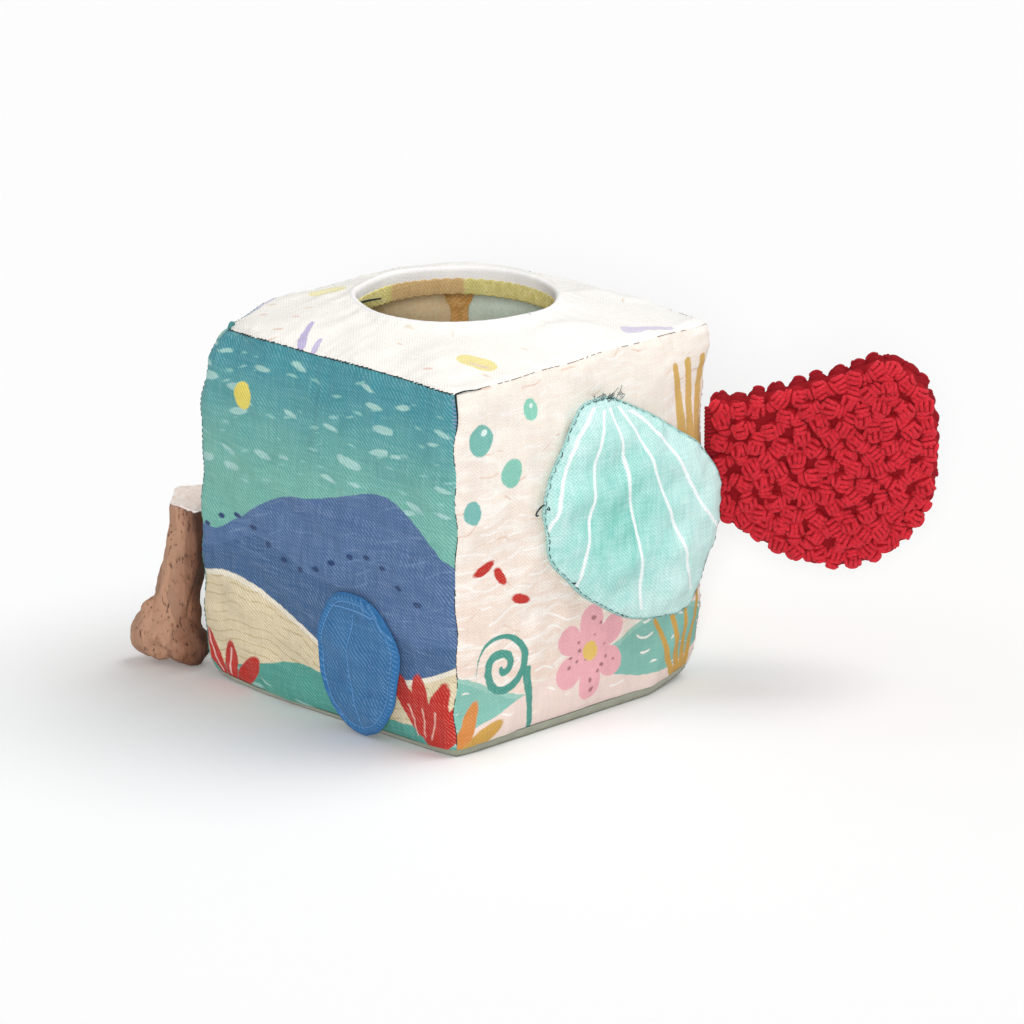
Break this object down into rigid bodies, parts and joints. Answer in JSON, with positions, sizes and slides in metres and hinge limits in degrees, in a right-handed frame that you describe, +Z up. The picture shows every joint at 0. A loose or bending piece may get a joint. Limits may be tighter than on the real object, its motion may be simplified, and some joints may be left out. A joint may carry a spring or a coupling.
{
  "type": "soft tissue box toy",
  "caption": "Padded fabric cube with a round hand hole in its top, folded cloths inside to pull out, hanging flaps to lift, a crochet piece and a wooden branch.",
  "frame": {"origin": "middle of the underside, on the surface that the box stands on", "axes": "+Z up, -Y out of the side with the leaf flap, +X out of the side with the scallop flap"},
  "size_m": [0.2134, 0.1914, 0.1393],
  "materials": {
    "sea_print": "printed cotton, matt",
    "sand_print": "printed cotton, matt",
    "dune_print": "printed cotton, matt",
    "lagoon_print": "printed cotton, matt",
    "cream_print": "printed cotton, matt",
    "suede": "sueded polyester, matt",
    "hem_cloth": "rolled cotton, matt",
    "facing_cloth": "plain cotton, matt",
    "tan_lining": "plain cotton, matt",
    "aqua_lining": "plain cotton, matt",
    "grey_lining": "plain cotton, matt",
    "foam": "polyurethane foam board",
    "wadding": "polyester wadding",
    "leaf_twill": "cotton twill, matt",
    "scallop_cloth": "mottled cotton, matt",
    "red_yarn": "crocheted cotton yarn",
    "dark_red_yarn": "crocheted cotton yarn",
    "carved_wood": "dull stain",
    "tape_cotton": "twill tape",
    "peach_cloth": "soft muslin",
    "mint_cloth": "soft muslin",
    "cream_cloth": "soft muslin"
  },
  "bodies": {
    "box": {"front_left_panel": "sea_print", "front_left_foam": "foam", "front_left_lining": "tan_lining", "front_right_panel": "sand_print", "front_right_foam": "foam", "front_right_lining": "aqua_lining", "back_right_panel": "dune_print", "back_right_foam": "foam", "back_right_lining": "aqua_lining", "back_left_panel": "lagoon_print", "back_left_foam": "foam", "back_left_lining": "tan_lining", "base_panel": "suede", "base_foam": "foam", "base_lining": "tan_lining", "top_panel": "cream_print", "top_foam": "foam", "top_lining": "grey_lining", "opening_hem": "hem_cloth", "opening_facing": "facing_cloth", "branch_tape_end": "tape_cotton"},
    "leaf": {"leaf_back": "leaf_twill", "leaf_front": "leaf_twill"},
    "scallop": {"scallop_back": "scallop_cloth", "scallop_wadding": "wadding", "scallop_front": "scallop_cloth"},
    "crochet": {"crochet_front": "red_yarn", "crochet_back": "dark_red_yarn", "crochet_stuffing": "wadding", "crochet_tab": "dark_red_yarn"},
    "branch": {"branch": "carved_wood", "branch_tape": "tape_cotton"},
    "tissue_top": {"tissue_top": "cream_cloth"},
    "tissue_middle": {"tissue_middle": "mint_cloth"},
    "tissue_bottom": {"tissue_bottom": "peach_cloth"}
  },
  "joints": [
    {"name": "leaf_lift", "type": "hinge", "parent": "box", "child": "leaf", "pos_m": [0.0208, -0.0679, 0.0504], "axis": [-1, 0, 0], "range_deg": [0, 110]},
    {"name": "scallop_lift", "type": "hinge", "parent": "box", "child": "scallop", "pos_m": [0.0666, 0.0025, 0.117], "axis": [0, -1, 0], "range_deg": [0, 110]},
    {"name": "crochet_swing", "type": "hinge", "parent": "box", "child": "crochet", "pos_m": [0.0605, 0.0605, 0.0805], "axis": [0, 0, 1], "range_deg": [-35, 75]},
    {"name": "branch_swing", "type": "hinge", "parent": "box", "child": "branch", "pos_m": [-0.0666, -0.055, 0.072], "axis": [0, 1, 0], "range_deg": [0, 80]},
    {"name": "tissue_top_lift", "type": "slide", "parent": "box", "child": "tissue_top", "axis": [0, 0, 1], "range_m": [0, 0.135]},
    {"name": "tissue_middle_lift", "type": "slide", "parent": "box", "child": "tissue_middle", "axis": [0, 0, 1], "range_m": [0, 0.082]},
    {"name": "tissue_bottom_lift", "type": "slide", "parent": "box", "child": "tissue_bottom", "axis": [0, 0, 1], "range_m": [0, 0.035]}
  ],
  "couplings": [
    {"joint": "tissue_middle_lift", "follows": "tissue_top_lift", "ratio": 0.6},
    {"joint": "tissue_bottom_lift", "follows": "tissue_top_lift", "ratio": 0.25}
  ]
}
